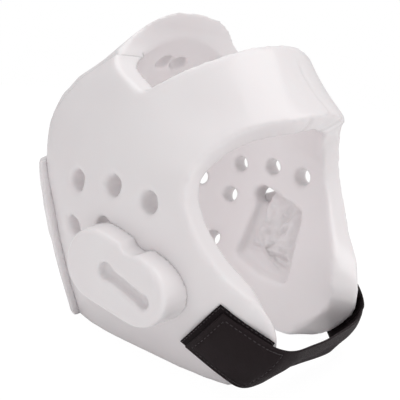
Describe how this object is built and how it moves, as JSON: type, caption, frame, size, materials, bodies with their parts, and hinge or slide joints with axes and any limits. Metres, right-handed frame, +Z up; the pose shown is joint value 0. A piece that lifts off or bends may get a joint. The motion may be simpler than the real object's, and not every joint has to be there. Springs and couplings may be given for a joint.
{
  "type": "taekwondo headgear",
  "caption": "Padded foam headgear with an open face and crown, vent holes, slotted ear pads, a raised rear pad and a hook and loop chin strap.",
  "frame": {"origin": "on the surface that the headgear stands on, under the middle of its bounding box", "axes": "+Z up, the face opening looks along -Y, +X to the wearer's left"},
  "size_m": [0.2314, 0.2342, 0.2314],
  "materials": {
    "foam": "white vinyl dip over soft foam, satin to glossy",
    "webbing": "black woven elastic",
    "tape": "black hook tape"
  },
  "bodies": {
    "root": {"side_wrap": "foam", "crown_panel": "foam", "rear_pad": "foam", "ear_pad_left": "foam", "ear_pad_right": "foam", "hook_patch_left": "tape", "hook_patch_right": "tape", "chin_strap": "webbing"}
  },
  "joints": []
}
